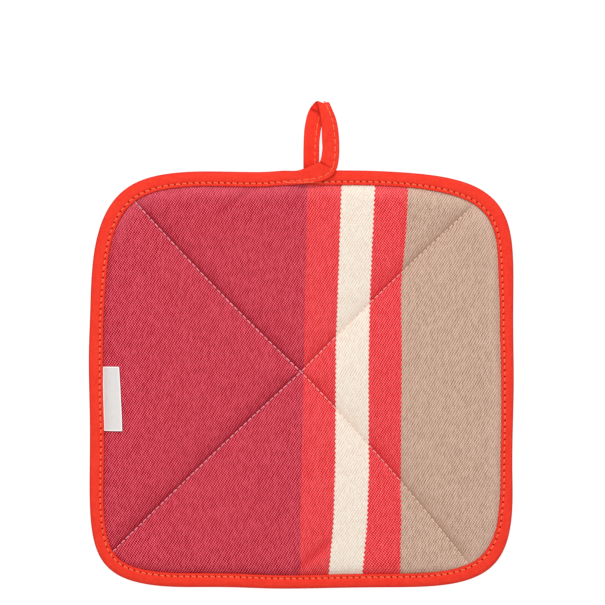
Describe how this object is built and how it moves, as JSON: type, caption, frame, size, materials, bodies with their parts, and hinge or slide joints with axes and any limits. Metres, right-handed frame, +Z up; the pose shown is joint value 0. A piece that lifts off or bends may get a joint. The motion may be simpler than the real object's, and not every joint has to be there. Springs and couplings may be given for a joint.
{
  "type": "quilted pot holder",
  "caption": "Square padded cotton pot holder with a striped twill face, crossed rows of quilting, a folded tape binding, a hanging loop and a small blank label.",
  "frame": {"origin": "on the table, below the middle of the whole object's box", "axes": "+Z up out of the striped face, +Y towards the hanging loop, +X to the right"},
  "size_m": [0.1992, 0.2284, 0.0094],
  "materials": {
    "striped_twill": "matt cotton twill, woven stripes",
    "binding_tape": "plain cotton tape, matt",
    "label_satin": "white satin, soft sheen"
  },
  "bodies": {
    "root": {"quilted_pad": "striped_twill", "edge_binding": "binding_tape", "hanging_loop": "binding_tape", "label": "label_satin"}
  },
  "joints": []
}
